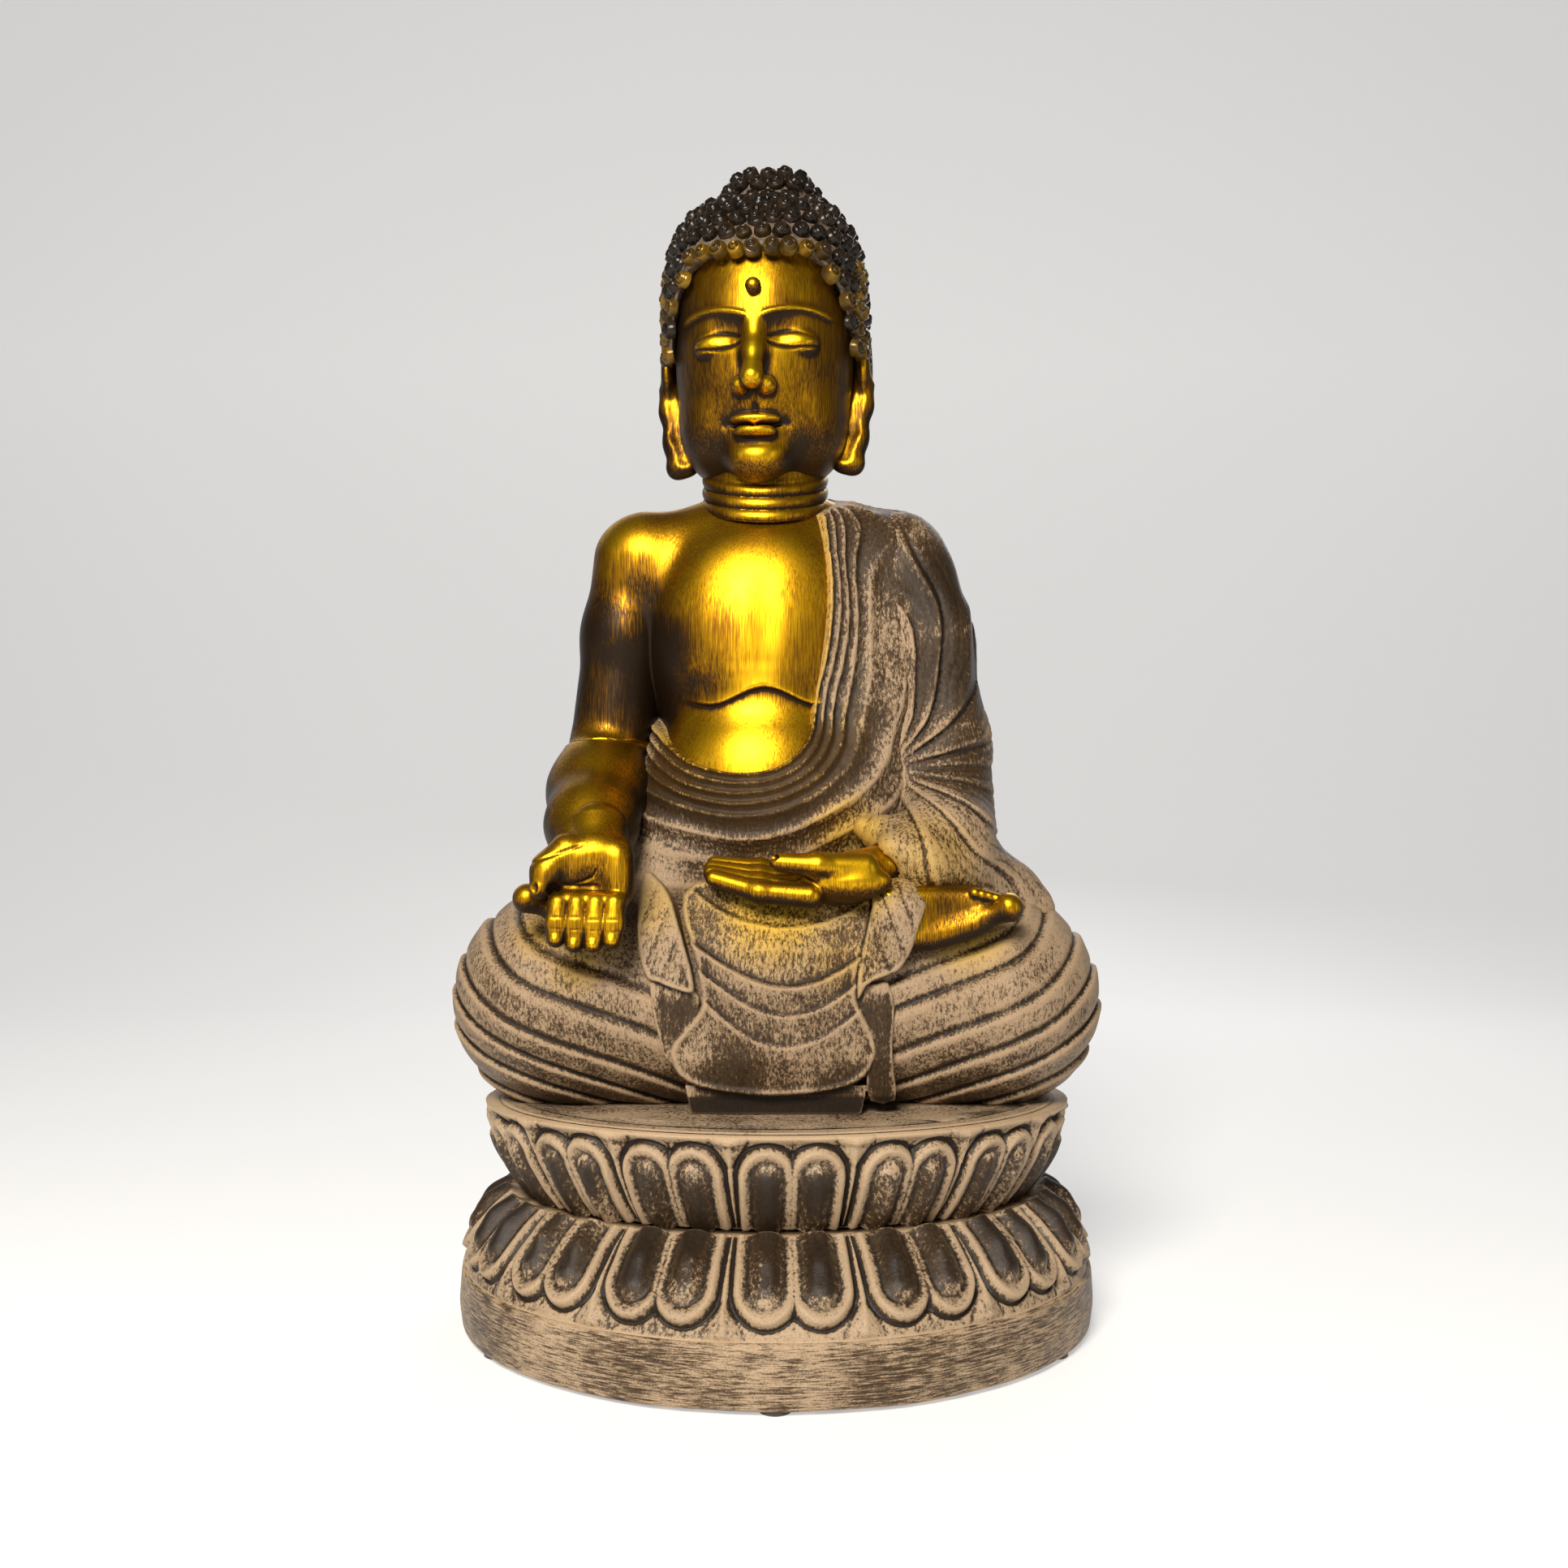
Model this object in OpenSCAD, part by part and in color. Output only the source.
// Seated figure in meditation on a double lotus throne.
// Hollow resin castings, spigoted and dowelled together and held down by one tie rod.
// Millimetres. Origin: centre of the footprint on the ground. Front faces -Y, up is +Z.

/* [Throne] */
// Width across the plinth
plinth_w = 326; // [322:1:332]
// Depth of the plinth, front to back
plinth_d = 302; // [298:1:306]
// Height of the plinth with its felt pads
plinth_h = 31; // [30:1:33]
// Height of the lower tier of petals
lower_tier_h = 35; // [33:1:37]
// Height of the upper tier of petals
upper_tier_h = 41; // [39:1:43]
// Thickness of the seat plate
seat_t = 7; // [6:1:8]
// Number of double petals round each tier
petal_count = 16; // [12:1:16]
// Turn of the petal rings about the front
petal_turn = 3; // [0:1:6]
// Height of the petals above their tier
petal_relief = 5; // [4:0.5:6]
// Wall thickness of the throne castings
wall = 8; // [7:1:9]

/* [Figure] */
// Height of the seated figure above the seat plate
figure_h = 486; // [480:1:492]
// Turn of the head towards its right
head_turn = 6; // [0:1:8]
// Radius of one hair curl
curl_r = 4.9; // [4.6:0.1:5.1]
// Thickness of the robe shell
robe_t = 5; // [4:0.5:6]

/* [Fixings] */
// Diameter of the tie rod
rod_d = 10; // [8:1:10]
// Diameter of the steel dowels in the limbs
dowel_d = 6; // [5:1:6]
// Thickness of the felt pads
pad_t = 2; // [1.5:0.5:2.5]
// Number of screws round the bottom cover
screw_count = 6; // [4:1:8]

/* [Hidden] */
$fn = 48;

gold = [0.72, 0.52, 0.12];
cloth = [0.62, 0.53, 0.44];
dark_hair = [0.20, 0.15, 0.12];
steel = [0.62, 0.63, 0.65];
fine = 0.01;

// Throne levels and outlines
lower_top = plinth_h + lower_tier_h;
upper_top = lower_top + upper_tier_h;
seat_z = upper_top + seat_t;
plinth_r = plinth_w / 2;
waist = [plinth_r * 0.84, plinth_d / 2 * 0.72];
seat = [plinth_r * 0.90, plinth_d / 2 * 0.755];
lower_outline = [[0, 160, 148], [0.25, 158, 143], [0.5, 153, 133], [0.8, 144, 118], [1, 137, 109]];
upper_outline = [[0, 133, 101], [0.25, 140, 107], [0.55, 145, 111], [0.85, 147, 112], [1, 147.5, 112.5]];
rim_w = wall + 12;
ledge_w = 14;
cover_t = 14;
cover_top = pad_t + cover_t;
well_r = 13;
well_h = 10;
washer_t = 2;
nut_h = 7;
screw_head_r = 3.6;
screw_head_h = 2.4;

// The figure is drawn 486 high and scaled as a whole
figure_drawn_h = 486;
figure_k = figure_h / figure_drawn_h;
deck_z = 86;
torso_x = -6;
torso_floor = 10;
rod_top = deck_z + 26;
floor_top = seat_z + (deck_z + torso_floor) * figure_k;

// Rings of the bare body: height, centre x, centre y, half width, half depth
body_rings = [
    [deck_z, -2, 8, 60, 40], [115, -4, 8, 57, 40], [145, -5, 6, 55, 41], [170, -6, 5, 55, 42],
    [205, -6, 4, 58, 44], [235, -6, 4, 63, 45], [262, -6, 5, 69, 42], [284, -6, 6, 72, 35],
    [299, -6, 6, 62, 33], [309, -6, 4, 44, 34]
];
elbow_z = 181;
neck_z = 298;
neck_top = 336;
neck_r = 32;

// Head: an oval skull with a cap of hair, and a low bump of hair on the crown
skull_at = [torso_x, 2, 398];
skull = [48, 54, 64];
cap = skull + [3, 3, 3];
bump_at = [torso_x + 1, 6, 450.4];
bump_r = 31;
nape_z = 344;
curl_h = 4.6;
curl_pitch = 2 * curl_r + 0.35;

// ---- Shared shapes ----

// A value between b and c on a smooth curve through a, b, c and d
function between(a, b, c, d, t) =
    b + 0.5 * t * ((c - a) + t * (2 * a - 5 * b + 4 * c - d + t * (3 * (b - c) + d - a)));
function nth(list, i) = list[max(0, min(len(list) - 1, i))];
function smoothed(list, steps) = [
    for (i = [0 : len(list) - 2]) for (j = [0 : steps - 1])
        between(nth(list, i - 1), list[i], list[i + 1], nth(list, i + 2), j / steps),
    list[len(list) - 1]
];
function thickened(rings, t) = [for (r = rings) [r[0], r[1], r[2], r[3] + t, r[4] + t]];

// A closed skin through oval rings
module loft(rings, steps = 2, sides = 24) {
    all = smoothed(rings, steps);
    last = (len(all) - 1) * sides;
    points = [for (r = all) for (k = [0 : sides - 1])
        [r[1] + r[3] * cos(360 * k / sides), r[2] + r[4] * sin(360 * k / sides), r[0]]];
    bands = [for (i = [0 : len(all) - 2]) for (k = [0 : sides - 1]) let (n = (k + 1) % sides)
        [i * sides + k, (i + 1) * sides + k, (i + 1) * sides + n, i * sides + n]];
    polyhedron(points, concat([[for (k = [0 : sides - 1]) k]], bands,
        [[for (k = [sides - 1 : -1 : 0]) last + k]]), convexity = 8);
}

// Its children evaluated together as one smooth skin
module skin() {
    resize([0, 0, 0]) children();
}

module ball(at, r, fn = 18) {
    translate(at) sphere(r, $fn = fn);
}

module egg(at, radii, fn = 24) {
    translate(at) scale(radii) sphere(1, $fn = fn);
}

// A rounded limb between two balls
module limb(a, ra, b, rb, fn = 18) {
    hull() {
        ball(a, ra, fn);
        ball(b, rb, fn);
    }
}

module oval(a, b, h) {
    scale([a, b, 1]) cylinder(r = 1, h = h, $fn = 96);
}

// A round pin between two points
module pin(a, b, r) {
    d = b - a;
    translate(a) rotate([0, acos(d[2] / norm(d)), atan2(d[1], d[0])]) cylinder(r = r, h = norm(d));
}

module in_figure() {
    translate([0, 0, seat_z]) scale(figure_k) children();
}

module in_head() {
    translate([torso_x, 0, 0]) rotate([0, 0, -head_turn]) translate([-torso_x, 0, 0]) children();
}

// ---- Throne ----

// Its child repeated round an oval that lies inset from the edge of the plinth
module round_plinth(count, inset) {
    for (i = [0 : count - 1]) {
        a = 360 * (i + 0.5) / count;
        translate([(plinth_r - inset) * cos(a), (plinth_d / 2 - inset) * sin(a), 0]) children();
    }
}

module felt_pads() {
    color([0.15, 0.13, 0.12]) round_plinth(6, rim_w / 2) cylinder(r = 7, h = pad_t);
}

module at_screws() {
    round_plinth(screw_count, rim_w + ledge_w / 2) children();
}

module plinth() {
    outer = [plinth_r, plinth_d / 2];
    recess = outer - [rim_w, rim_w];
    inner = recess - [ledge_w, ledge_w];
    color(cloth)
    difference() {
        translate([0, 0, pad_t]) oval(outer[0], outer[1], plinth_h - pad_t);
        oval(inner[0], inner[1], plinth_h + 1);
        oval(recess[0], recess[1], cover_top);
        at_screws() cylinder(r = 1.8, h = cover_top + 6);
    }
}

module bottom_cover() {
    color([0.45, 0.33, 0.22])
    difference() {
        translate([0, 0, pad_t])
            oval(plinth_r - rim_w - 0.5, plinth_d / 2 - rim_w - 0.5, cover_t);
        cylinder(r = rod_d / 2 + 0.3, h = 60);
        cylinder(r = well_r, h = pad_t + well_h);
        at_screws() {
            cylinder(r = 2, h = 60);
            cylinder(r = screw_head_r + 0.3, h = pad_t + screw_head_h + 0.4);
        }
    }
}

module cover_screws() {
    color(steel)
    at_screws() translate([0, 0, pad_t + 0.4]) {
        cylinder(r = screw_head_r, h = screw_head_h);
        cylinder(r = 1.8, h = cover_t + 5);
    }
}

// Swell of the double petals at angle t, and u of the way up a tier
function swell(t, u) = petal_relief
    * pow(abs(sin(petal_count * (t + 90 - petal_turn))), 0.7) * pow(max(0, sin(180 * u)), 0.6);

// A hollow tier whose outside follows the outline rings and swells with the petals
module petal_tier(outline, base_z, h) {
    sides = petal_count * 6;
    rings = smoothed(outline, 2);
    outside = [for (r = rings) for (k = [0 : sides - 1]) let (t = 360 * k / sides, s = swell(t, r[0]))
        [(r[1] + s) * cos(t), (r[2] + s) * sin(t), base_z + h * r[0]]];
    inside = [for (r = [rings[len(rings) - 1], rings[0]]) for (k = [0 : sides - 1])
        let (t = 360 * k / sides, u = r[0])
        [(r[1] - wall) * cos(t), (r[2] - wall) * sin(t), base_z + h * u]];
    rows = len(rings) + 2;
    faces = [for (i = [0 : rows - 1]) for (k = [0 : sides - 1])
        let (j = (i + 1) % rows, n = (k + 1) % sides)
        [i * sides + k, j * sides + k, j * sides + n, i * sides + n]];
    polyhedron(concat(outside, inside), faces, convexity = 10);
}

module lower_lotus() {
    color(cloth) petal_tier(lower_outline, plinth_h, lower_tier_h);
}

module upper_lotus() {
    color(cloth) petal_tier(upper_outline, lower_top, upper_tier_h);
}

module seat_plate() {
    color(cloth)
    difference() {
        translate([0, 0, upper_top]) oval(seat[0], seat[1], seat_t);
        translate([0, 0, upper_top - 1]) cylinder(r = rod_d / 2 + 0.3, h = seat_t + 2);
    }
}

// ---- Fixings ----

module tie_rod() {
    rod_bottom = pad_t + 1;
    color(steel) translate([0, 0, rod_bottom])
        cylinder(r = rod_d / 2, h = seat_z + rod_top * figure_k - rod_bottom);
}

module tie_rod_washers() {
    color(steel)
    for (z = [pad_t + well_h - washer_t, floor_top])
        translate([0, 0, z]) difference() {
            cylinder(r = 12, h = washer_t);
            translate([0, 0, -1]) cylinder(r = rod_d / 2 + 0.3, h = washer_t + 2);
        }
}

module tie_rod_nuts() {
    color(steel)
    for (z = [pad_t + well_h - washer_t - nut_h, floor_top + washer_t])
        translate([0, 0, z]) difference() {
            cylinder(r = 9.2, h = nut_h, $fn = 6);
            translate([0, 0, -1]) cylinder(r = rod_d / 2, h = nut_h + 2);
        }
}

// ---- Lap and legs ----

module knee_mass(side) {
    hull() {
        egg([side * 105, -8, 49], [62, 60, 53]);
        egg([side * 45, -12, 48], [48, 60, 53]);
    }
}

module leg_solid() {
    knee_mass(1);
    knee_mass(-1);
    egg([0, 14, 46], [112, 62, 56]);
    egg([0, -22, 54], [62, 44, 45]);
}

// Hollow inside the legs, open to the seat plate through a smaller mouth
module leg_cavity() {
    hull() for (side = [-1, 1]) egg([side * 80, -2, 47], [44, 36, 34], 20);
    translate([0, 8, -1]) scale([58, 26, 1]) cylinder(r = 1, h = 40, $fn = 32);
}

module hip_seat() {
    translate([-3, 8, deck_z]) scale([67, 47, 1]) cylinder(r = 1, h = 60, $fn = 32);
}

module leg_block() {
    color(cloth) in_figure() difference() {
        skin() difference() {
            leg_solid();
            hip_seat();
            translate([-200, -200, -50]) cube([400, 400, 50]);
            leg_cavity();
        }
        translate([0, 0, 40]) cylinder(r = rod_d / 2 + 0.3, h = 60);
    }
}

// Front fall of the robe: cloth that hangs over the crossed shins and spreads on the seat
module apron_outline() {
    polygon(smoothed([
        [-48, 84], [-50, 66], [-40, 50], [-46, 34], [-52, 20], [-40, 6], [0, 0.4],
        [40, 6], [52, 20], [46, 34], [40, 50], [50, 66], [48, 84]
    ], 4));
}

module robe_apron() {
    color(cloth) in_figure() skin() difference() {
        translate([0, -34, 0]) rotate([90, 0, 0]) linear_extrude(42) apron_outline();
        leg_solid();
    }
}

// A foot lying sole up, from its heel to its toes along +X
module foot_solid() {
    hull() {
        egg([-22, 0, 0], [14, 12, 11], 16);
        egg([20, 1, 1], [12, 17, 9], 16);
    }
    for (i = [0 : 4])
        limb([24, 13 - 6.5 * i, 1], 4.4, [34 - 1.2 * i, 13 - 6.5 * i, 4], 4.4, 10);
}

module at_foot(side) {
    mirror([side < 0 ? 1 : 0, 0, 0]) translate([84, -56, 94]) rotate([38, -4, 0]) children();
}

module foot_pin(side, r) {
    pin([side * 84, -56, 90], [side * 84, -42, 68], r);
}

module foot(side) {
    color(gold) in_figure() difference() {
        skin() difference() {
            at_foot(side) foot_solid();
            leg_solid();
        }
        foot_pin(side, dowel_d / 2);
    }
}

module right_foot() {
    foot(1);
}

module left_foot() {
    foot(-1);
}

module foot_dowels() {
    color(steel) in_figure() intersection() {
        for (side = [-1, 1]) foot_pin(side, dowel_d / 2);
        translate([-200, -200, 0]) cube(400);
    }
}

// ---- Body and robe ----

module torso() {
    cavity = [for (r = body_rings) if (r[0] < 270) [r[0] + torso_floor, r[1], r[2], r[3] - 9, r[4] - 9]];
    color(gold) in_figure() difference() {
        skin() difference() {
            loft(body_rings);
            loft(cavity, 1);
            translate([0, 0, deck_z - 1]) cylinder(r = rod_d / 2 - 1, h = torso_floor + 2, $fn = 16);
        }
        translate([0, 0, deck_z - 1]) cylinder(r = rod_d / 2 + 0.3, h = torso_floor + 2);
        neck_socket();
        neck_pin();
    }
}

// What the robe leaves bare: the right shoulder, arm and chest, front and back
module bare_side() {
    translate([0, 6, 0]) rotate([90, 0, 0]) linear_extrude(120) polygon(smoothed([
        [-130, 226], [-80, 214], [-50, 183], [-17, 168], [10, 180], [22, 205], [27, 250], [32, 320]
    ], 4));
    translate([0, 120, 0]) rotate([90, 0, 0]) linear_extrude(115)
        polygon([[-130, 320], [-130, 222], [-72, 222], [34, 300], [34, 320]]);
    translate([0, 6, 0]) rotate([90, 0, 0]) linear_extrude(120)
        polygon([[-130, 226], [32, 319.9], [-130, 319.9]]);
}

module robe_wrap() {
    color(cloth) in_figure() skin() difference() {
        loft(thickened(body_rings, robe_t));
        loft(body_rings);
        bare_side();
        right_arm_solid();
        translate([torso_x, 2, neck_z]) cylinder(r = neck_r + 3, h = 30, $fn = 32);
    }
}

// ---- Left arm and hand ----

module sleeve_solid() {
    hull() {
        ball([63, 6, 279], 27);
        ball([83, 4, 170], 27);
    }
    hull() {
        ball([83, 4, 170], 27);
        ball([84, -14, 128], 25);
        ball([50, -56, 121], 16);
    }
    hull() {
        ball([86, -10, 124], 24);
        ball([112, -20, 103], 18);
        ball([64, -56, 112], 17);
    }
}

module left_sleeve() {
    color(cloth) in_figure() difference() {
        skin() difference() {
            sleeve_solid();
            loft(thickened(body_rings, robe_t));
            leg_solid();
            at_foot(1) foot_solid();
        }
        left_wrist_pin();
    }
}

module left_hand_solid() {
    hull() {
        egg([36, -62, 116], [16, 16, 10], 16);
        egg([12, -66, 113], [14, 20, 9], 16);
    }
    for (i = [0 : 3])
        limb([6, -51 - 9.6 * i, 110], 5.4, [-31 + 2 * i, -52 - 8.6 * i, 113], 4.6, 10);
    limb([24, -56, 121], 7, [-8, -62, 123], 5, 10);
}

module left_wrist_pin() {
    pin([30, -61, 117], [66, -50, 124], dowel_d / 2);
}

module left_hand() {
    color(gold) in_figure() difference() {
        skin() difference() {
            left_hand_solid();
            sleeve_solid();
            leg_solid();
        }
        left_wrist_pin();
    }
}

module left_wrist_dowel() {
    color(steel) in_figure() left_wrist_pin();
}

// ---- Right arm and hand ----

module right_arm_solid() {
    limb([-75, 5, 281], 22.5, [-87, 8, 186], 20.5, 24);
    limb([-88, 4, 176], 21, [-87, -66, 133], 13.5, 24);
}

module right_hand_solid() {
    hull() {
        egg([-87, -74, 127], [13, 10, 12], 16);
        egg([-88, -86, 106], [21, 8, 12], 16);
    }
    for (i = [0 : 3])
        limb([-103.5 + 10.4 * i, -88, 100], 5.2, [-102 + 9.4 * i, -90, 86], 4.6, 10);
    limb([-72, -84, 118], 6.5, [-65, -91, 98], 5, 10);
}

module elbow_pin() {
    pin([-87, 7, 206], [-88, 5, 160], dowel_d / 2);
}

module right_wrist_pin() {
    pin([-87, -52, 141.6], [-87, -82, 116], dowel_d / 2);
}

module right_upper_arm() {
    color(gold) in_figure() difference() {
        skin() difference() {
            intersection() {
                right_arm_solid();
                translate([-200, -200, elbow_z]) cube(400);
            }
            loft(body_rings);
        }
        elbow_pin();
    }
}

module right_forearm() {
    color(gold) in_figure() difference() {
        skin() difference() {
            right_arm_solid();
            translate([-200, -200, elbow_z]) cube(400);
            right_hand_solid();
            loft(body_rings);
        }
        elbow_pin();
        right_wrist_pin();
    }
}

module right_hand() {
    color(gold) in_figure() difference() {
        skin() difference() {
            right_hand_solid();
            leg_solid();
            at_foot(-1) foot_solid();
        }
        right_wrist_pin();
    }
}

module elbow_dowel() {
    color(steel) in_figure() elbow_pin();
}

module right_wrist_dowel() {
    color(steel) in_figure() right_wrist_pin();
}

// ---- Head ----

module neck_pin() {
    translate([torso_x, 2, neck_z - 20]) cylinder(r = dowel_d / 2 + 2, h = 64);
}

module neck_dowel() {
    color(steel) in_figure() neck_pin();
}

module neck_socket() {
    translate([torso_x, 2, neck_z]) cylinder(r = neck_r + 1.6, h = neck_top - neck_z);
}

// Neck with its three soft rings
module neck() {
    ring_h = (neck_top - neck_z) / 4;
    color(gold) in_figure() difference() {
        translate([torso_x, 2, 0]) rotate_extrude() polygon(concat(
            [[0, neck_z]],
            [for (i = [0 : 24]) [neck_r + 1.4 * abs(sin(30 * i)), neck_z + ring_h * i / 6]],
            [[0, neck_top]]
        ));
        neck_pin();
    }
}

// A plain oval head with a softly modelled brow, nose and chin
module skull_solid() {
    egg(skull_at, skull);
    hull() {
        egg([torso_x, -6, 372], [46, 43, 38]);
        egg([torso_x, -20, 338], [31, 27, 25]);
    }
    hull() {
        ball([torso_x, -47, 392], 4, 12);
        ball([torso_x, -52, 364], 5, 10);
    }
    egg([torso_x, -45, 349], [12, 5, 5], 16);
}

module urna_pin(r) {
    translate([torso_x, -42, 404]) rotate([90, 0, 0]) cylinder(r = r, h = 10.4);
}

module head() {
    color(gold) in_figure() in_head() difference() {
        skin() skull_solid();
        urna_pin(2);
        neck_in_head();
    }
}

module neck_in_head() {
    translate([torso_x, 0, 0]) rotate([0, 0, head_turn]) translate([-torso_x, 0, 0]) {
        neck_socket();
        neck_pin();
    }
}

module urna() {
    color(gold) in_figure() in_head() {
        urna_pin(2);
        translate([torso_x, -52.4, 404]) rotate([90, 0, 0])
            rotate_extrude() intersection() {
                circle(4);
                square([4, 4]);
            }
    }
}

module ear(side) {
    color(gold) in_figure() in_head() translate([torso_x, 0, 0]) skin() difference() {
        hull() {
            egg([side * 49, 4, 380], [6, 12, 18], 20);
            egg([side * 44, -1, 332], [4, 7, 10], 20);
        }
        translate([-torso_x, 0, 0]) {
            skull_solid();
            egg(skull_at, cap);
        }
        translate([side * 57, -1, 376]) scale([6, 6, 14]) sphere(1, $fn = 16);
    }
}

module right_ear() {
    ear(-1);
}

module left_ear() {
    ear(1);
}

// ---- Hair ----

// True where the face shows, at a point of the head measured from the middle of the skull
function on_face(p, margin) = p[1] < -6 - margin * 0.4
    && p[2] < 22 + margin - 0.011 * p[0] * p[0] && abs(p[0]) < 47 + margin;

// Direction of a spot on a round shape, by its angle from the top and round it
function toward(tilt, turn) = [sin(tilt) * sin(turn), -sin(tilt) * cos(turn), cos(tilt)];

// Spots a curl apart on an oval, row by row from its top
function curl_spots(radii, lowest) = [
    for (row = [0 : floor(lowest / tilt_step(radii))])
        let (tilt = row * tilt_step(radii), around = row_count(radii, tilt))
        for (i = [0 : around - 1]) toward(tilt, 360 * (i + (row % 2) / 2) / around)
];
function tilt_step(radii) = 3 * curl_pitch / (radii[0] + radii[1] + radii[2]) * 180 / PI;
function row_count(radii, tilt) = let (row_r = min(radii[0], radii[1]) * sin(tilt))
    row_r < curl_pitch ? 1 : floor(180 / asin(curl_pitch / 2 / row_r));

module curl() {
    rotate_extrude() polygon([
        [0, 0], [curl_r, 0], [curl_r, curl_h * 0.3], [curl_r * 0.9, curl_h * 0.6],
        [curl_r * 0.55, curl_h * 0.85], [curl_r * 0.5, curl_h * 0.75], [curl_r * 0.3, curl_h], [0, curl_h]
    ]);
}

// A curl standing on an oval, at direction d from its middle
module curl_on(middle, radii, d) {
    n = [d[0] / radii[0], d[1] / radii[1], d[2] / radii[2]];
    lift = 0.05 * n / norm(n);
    translate(middle + [d[0] * radii[0], d[1] * radii[1], d[2] * radii[2]] + lift)
        rotate([0, acos(n[2] / norm(n)), atan2(n[1], n[0])]) curl();
}

module face_window() {
    translate([0, -6, 0]) rotate([90, 0, 0]) linear_extrude(100) translate([torso_x, skull_at[2]])
        polygon([[-47, -80], [47, -80], for (x = [47 : -94 / 12 : -47.1]) [x, 22 - 0.011 * x * x]]);
}

module hair_cap() {
    color(dark_hair) in_figure() in_head() skin() difference() {
        egg(skull_at, cap, 28);
        egg(skull_at, skull);
        hull() {
            egg([torso_x, -6, 372], [46, 43, 38]);
            egg([torso_x, -20, 338], [31, 27, 25]);
        }
        face_window();
        translate([-200, -200, nape_z - 400]) cube(400);
    }
}

module hair_curls() {
    color(dark_hair) in_figure() in_head()
    for (d = curl_spots(cap, 140)) {
        p = [d[0] * cap[0], d[1] * cap[1], d[2] * cap[2]];
        clear_of_bump = norm(skull_at + p - bump_at) > bump_r + curl_r + 3;
        if (!on_face(p, curl_r) && clear_of_bump && skull_at[2] + p[2] > nape_z + curl_r)
            curl_on(skull_at, cap, d);
    }
}

module ushnisha() {
    color(dark_hair) in_figure() in_head() skin() difference() {
        egg(bump_at, [bump_r, bump_r, bump_r]);
        egg(skull_at, cap, 28);
    }
}

module ushnisha_curls() {
    color(dark_hair) in_figure() in_head()
    for (d = curl_spots([bump_r, bump_r, bump_r], 90)) {
        p = bump_at + bump_r * d - skull_at;
        if (norm([p[0] / cap[0], p[1] / cap[1], p[2] / cap[2]]) > 1.02)
            curl_on(bump_at, [bump_r, bump_r, bump_r], d);
    }
}

felt_pads();
bottom_cover();
cover_screws();
plinth();
lower_lotus();
upper_lotus();
seat_plate();
tie_rod();
tie_rod_nuts();
tie_rod_washers();
leg_block();
robe_apron();
left_foot();
right_foot();
foot_dowels();
torso();
robe_wrap();
left_sleeve();
left_hand();
left_wrist_dowel();
right_upper_arm();
right_forearm();
right_hand();
elbow_dowel();
right_wrist_dowel();
neck();
neck_dowel();
head();
left_ear();
right_ear();
hair_cap();
hair_curls();
ushnisha();
ushnisha_curls();
urna();
